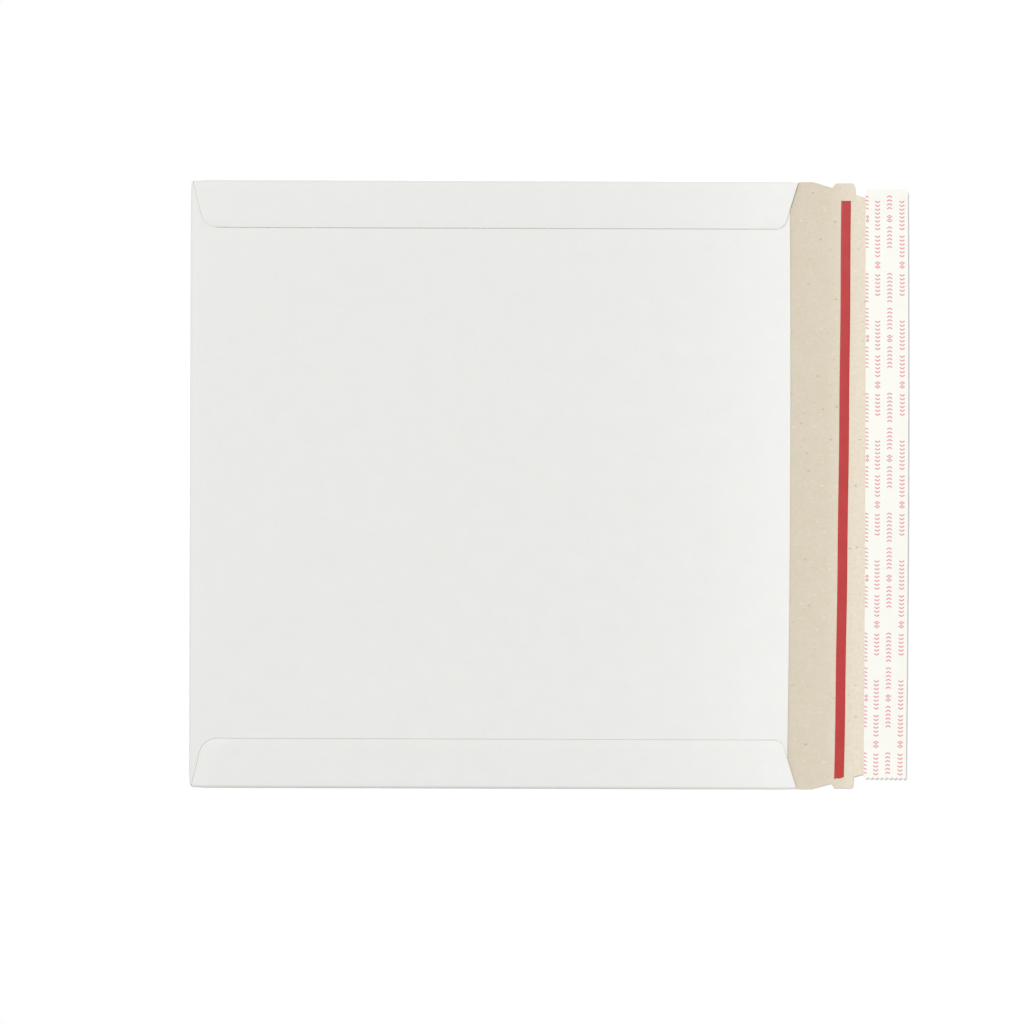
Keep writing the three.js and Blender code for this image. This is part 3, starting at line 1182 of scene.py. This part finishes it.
print_vertices = []
print_faces = []
for row_number, (past, phase) in enumerate(zip(row_past, row_phase)):
    direction = -1 if row_number % 2 else 1
    first = past < liner_inner + print_height / 2
    count = int((liner_top_y - liner_bottom_y - 2 * tooth_depth) / mark_pitch) - 1
    holder = bpy.data.objects.new("row_holder", bpy.data.meshes.new("row_holder"))
    bpy.context.scene.collection.objects.link(holder)
    modifier = holder.modifiers.new("Printed row", "NODES")
    modifier.node_group = marks
    for name, value in {
        "Marks": count,
        "Mark pitch": mark_pitch,
        "Repeat": repeat,
        "Phase": phase,
        "Direction": float(direction),
        "Half height": print_height / 2,
        "Lower half height": cut_chevron_foot if first else -print_height / 2,
        "Reach": mark_reach,
        "Lozenge middle": print_height / 4 + cut_lozenge_shift if first else 0.0,
        "Lozenge half height": print_height / 4 if first else print_height / 2,
        "Lozenge half width": lozenge_reach,
        "Stroke": stroke,
        "Ink thickness": ink_thickness,
        "Ink": pink_ink,
    }.items():
        modifier[sockets[name]] = value
    evaluated = holder.evaluated_get(bpy.context.evaluated_depsgraph_get())
    row_mesh = bpy.data.meshes.new_from_object(evaluated)
    holder.modifiers.clear()
    start = len(print_vertices)
    for vertex in row_mesh.vertices:
        mark_past = past + vertex.co.x
        y = liner_bottom_y + tooth_depth + mark_pitch + vertex.co.y
        height = liner_lift(mark_past, y) + liner_thickness + ink_lift + vertex.co.z
        point, normal = fold(crease_x + mark_past, y)
        print_vertices.append(mm * (point + (half_board + height) * normal))
    print_faces += [[start + k for k in face.vertices] for face in row_mesh.polygons]
    bpy.data.objects.remove(holder)
    bpy.data.meshes.remove(row_mesh)

print_mesh = bpy.data.meshes.new("liner_print")
print_mesh.from_pydata(print_vertices, [], print_faces)
liner_print = show("liner_print", print_mesh, pink_ink)


# The floor
#
# A plain white sweep of paper that the envelope lies on. It keeps the envelope's shadow, and is
# pure white where no shadow falls.

floor_half = 8
floor_drop = 0.02 * mm  # so that the floor doesn't meet the board's lowest faces
floor_glow = 0.09  # brings the lit paper up to pure white


def seen_directly(tree):
    """1 for rays from the camera, from a reflection or through a clear piece, and 0 for the rest,
    which only carry light."""
    path = add(tree, "ShaderNodeLightPath")
    seen = add(
        tree,
        "ShaderNodeMath",
        {0: path.outputs["Is Camera Ray"], 1: path.outputs["Is Glossy Ray"]},
        operation="MAXIMUM",
    )
    seen_through = add(
        tree,
        "ShaderNodeMath",
        {0: seen.outputs[0], 1: path.outputs["Is Transmission Ray"]},
        operation="MAXIMUM",
    )
    return seen_through.outputs[0]


floor_mesh = bpy.data.meshes.new("floor")
floor_mesh.from_pydata(
    [(x * floor_half, y * floor_half, -floor_drop) for x, y in ((-1, -1), (1, -1), (1, 1), (-1, 1))],
    [],
    [[0, 1, 2, 3]],
)
floor = bpy.data.objects.new("floor", floor_mesh)
bpy.context.scene.collection.objects.link(floor)
sweep, tree, output = new_material("White paper sweep")
paint = add(tree, "ShaderNodeBsdfDiffuse", {"Color": colour("#fefefe")})
strength = add(tree, "ShaderNodeMath", {0: seen_directly(tree), 1: floor_glow}, operation="MULTIPLY")
glow = add(tree, "ShaderNodeEmission", {"Strength": strength.outputs[0]})
both = add(tree, "ShaderNodeAddShader", {0: paint.outputs[0], 1: glow.outputs[0]})
tree.links.new(both.outputs[0], output.inputs["Surface"])
floor_mesh.materials.append(sweep)


# The light
#
# A sun from the upper left, with slightly soft shadows, is the key light. White light comes from
# all round the envelope, and a long, faint lamp fills in the shadows along the closure flap.

surround_light = 0.574
key_direction = Vector((-0.29, 0.3, 1.0))

world = bpy.data.worlds.new("Even white surround")
bpy.context.scene.world = world
world.use_nodes = True
tree = world.node_tree
tree.nodes.clear()
output = tree.nodes.new("ShaderNodeOutputWorld")
strength = add(
    tree,
    "ShaderNodeMapRange",
    {"Value": seen_directly(tree), "To Min": surround_light, "To Max": 1},
)
surround = add(tree, "ShaderNodeBackground", {"Strength": strength.outputs["Result"]})
tree.links.new(surround.outputs[0], output.inputs["Surface"])

key_lamp = bpy.data.lights.new("key", "SUN")
key_lamp.energy = 1.56
key_lamp.angle = math.radians(5)
key = bpy.data.objects.new("key", key_lamp)
key.rotation_euler = key_direction.to_track_quat("Z", "Y").to_euler()
bpy.context.scene.collection.objects.link(key)

fill_lamp = bpy.data.lights.new("fill", "AREA")
fill_lamp.shape = "RECTANGLE"
fill_lamp.size = 0.03
fill_lamp.size_y = 0.7
fill_lamp.energy = 0.04
fill = bpy.data.objects.new("fill", fill_lamp)
fill.location = (0.15, 0, 0.065)
fill.visible_camera = False
fill.visible_glossy = False
bpy.context.scene.collection.objects.link(fill)


# The camera
#
# It hangs 1.2 m above the floor and looks straight down, with the envelope right of the middle.
camera_height = 1.2
frame_width = 0.4187  # of the floor that the camera sees
camera_data = bpy.data.cameras.new("camera")
camera_data.sensor_width = 36
camera_data.lens = camera_data.sensor_width * camera_height / frame_width
camera_data.clip_end = 40
camera = bpy.data.objects.new("camera", camera_data)
camera.location = (0.0062, -0.01118, camera_height)
camera.rotation_euler = (0, 0, math.radians(0.19))
bpy.context.scene.collection.objects.link(camera)
bpy.context.scene.camera = camera
bpy.context.scene.view_settings.view_transform = "Standard"
